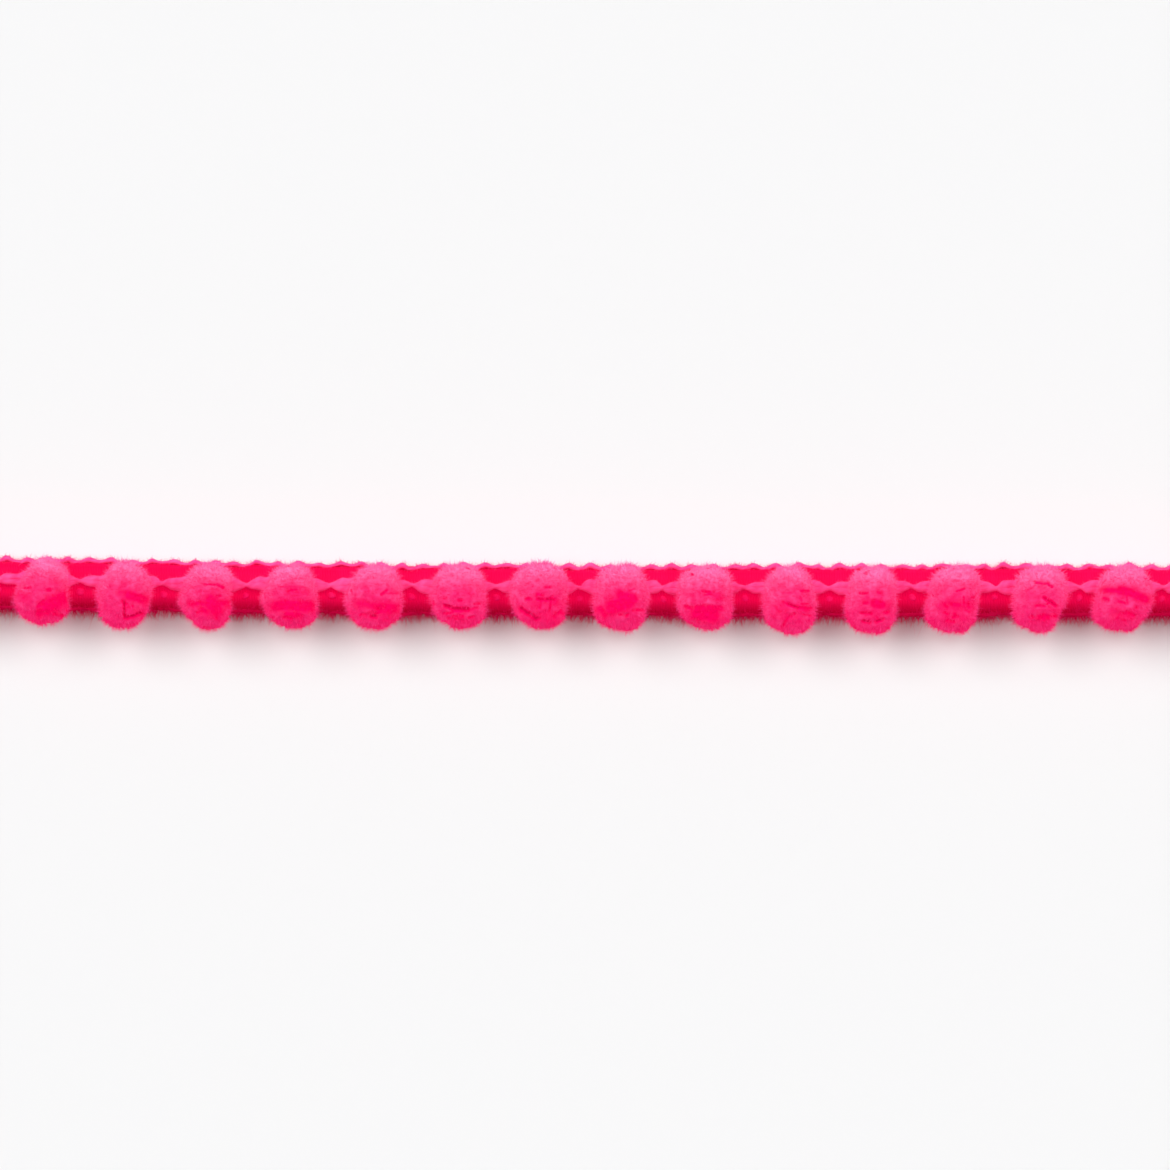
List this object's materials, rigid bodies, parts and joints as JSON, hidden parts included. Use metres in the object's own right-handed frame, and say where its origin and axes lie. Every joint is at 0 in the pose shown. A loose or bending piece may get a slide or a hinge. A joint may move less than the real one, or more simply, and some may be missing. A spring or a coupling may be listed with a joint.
{
  "type": "pompom fringe trim",
  "caption": "Cut length of narrow knitted pink band with a looped heading edge, a raised chain along its middle and small cut-pile pompoms tied on at an even pitch, lying face up.",
  "frame": {"origin": "middle of the band's flat back, half way along the cut length", "axes": "+X along the band, +Y towards the looped heading edge, +Z out of the face that carries the pompoms"},
  "size_m": [0.16, 0.0099, 0.0075],
  "materials": {
    "band_yarn": "matt knitted yarn, deep hot pink",
    "pompom_pile": "velvety cut pile, bright hot pink with paler tips"
  },
  "bodies": {
    "root": {"braid": "band_yarn", "pompom_01": "pompom_pile", "pompom_02": "pompom_pile", "pompom_03": "pompom_pile", "pompom_04": "pompom_pile", "pompom_05": "pompom_pile", "pompom_06": "pompom_pile", "pompom_07": "pompom_pile", "pompom_08": "pompom_pile", "pompom_09": "pompom_pile", "pompom_10": "pompom_pile", "pompom_11": "pompom_pile", "pompom_12": "pompom_pile", "pompom_13": "pompom_pile", "pompom_14": "pompom_pile", "pompom_15": "pompom_pile", "pompom_16": "pompom_pile"}
  },
  "joints": []
}
